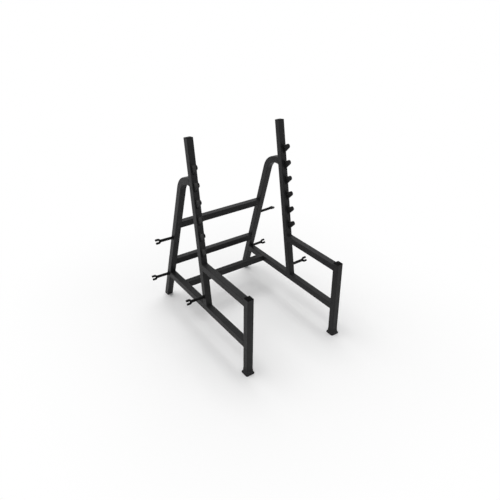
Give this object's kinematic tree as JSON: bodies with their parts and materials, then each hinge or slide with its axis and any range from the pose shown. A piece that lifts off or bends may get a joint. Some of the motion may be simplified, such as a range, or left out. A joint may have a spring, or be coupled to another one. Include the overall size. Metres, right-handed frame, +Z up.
{
  "type": "squat stand",
  "caption": "Free-standing squat stand of square steel tube: two leaning side frames with hook-plate bar catches, safety rails and forked storage pegs, joined by rear crossbars.",
  "frame": {"origin": "on the floor, at the middle of the stand's footprint, in its plane of symmetry", "axes": "+Z up from the floor, +X to the right-hand side frame for someone looking in at the open front, which faces -Y"},
  "size_m": [1.4582, 1.6426, 1.9465],
  "materials": {
    "frame_paint": "black powder coat with a fine satin grain",
    "catch_paint": "black powder coat over plate, rubbed where the bar lands",
    "peg_paint": "black powder coat over round bar",
    "cap_plastic": "fine-grained black moulded plastic",
    "foot_rubber": "matt black moulded rubber"
  },
  "bodies": {
    "root": {"left_upright": "frame_paint", "left_rear_leg": "frame_paint", "left_front_post": "frame_paint", "left_side_rail": "frame_paint", "left_safety_rail": "frame_paint", "left_upright_cap": "cap_plastic", "left_post_cap": "cap_plastic", "left_front_foot": "foot_rubber", "left_rear_foot": "foot_rubber", "left_catch_1": "catch_paint", "left_catch_2": "catch_paint", "left_catch_3": "catch_paint", "left_catch_4": "catch_paint", "left_catch_5": "catch_paint", "left_catch_6": "catch_paint", "left_upper_peg": "peg_paint", "left_upper_peg_fork": "peg_paint", "left_lower_peg": "peg_paint", "left_lower_peg_fork": "peg_paint", "left_front_peg": "peg_paint", "left_front_peg_fork": "peg_paint", "right_upright": "frame_paint", "right_rear_leg": "frame_paint", "right_front_post": "frame_paint", "right_side_rail": "frame_paint", "right_safety_rail": "frame_paint", "right_upright_cap": "cap_plastic", "right_post_cap": "cap_plastic", "right_front_foot": "foot_rubber", "right_rear_foot": "foot_rubber", "right_catch_1": "catch_paint", "right_catch_2": "catch_paint", "right_catch_3": "catch_paint", "right_catch_4": "catch_paint", "right_catch_5": "catch_paint", "right_catch_6": "catch_paint", "right_upper_peg": "peg_paint", "right_upper_peg_fork": "peg_paint", "right_lower_peg": "peg_paint", "right_lower_peg_fork": "peg_paint", "right_front_peg": "peg_paint", "right_front_peg_fork": "peg_paint", "upper_crossbar": "frame_paint", "middle_crossbar": "frame_paint", "lower_crossbar": "frame_paint"}
  },
  "joints": []
}
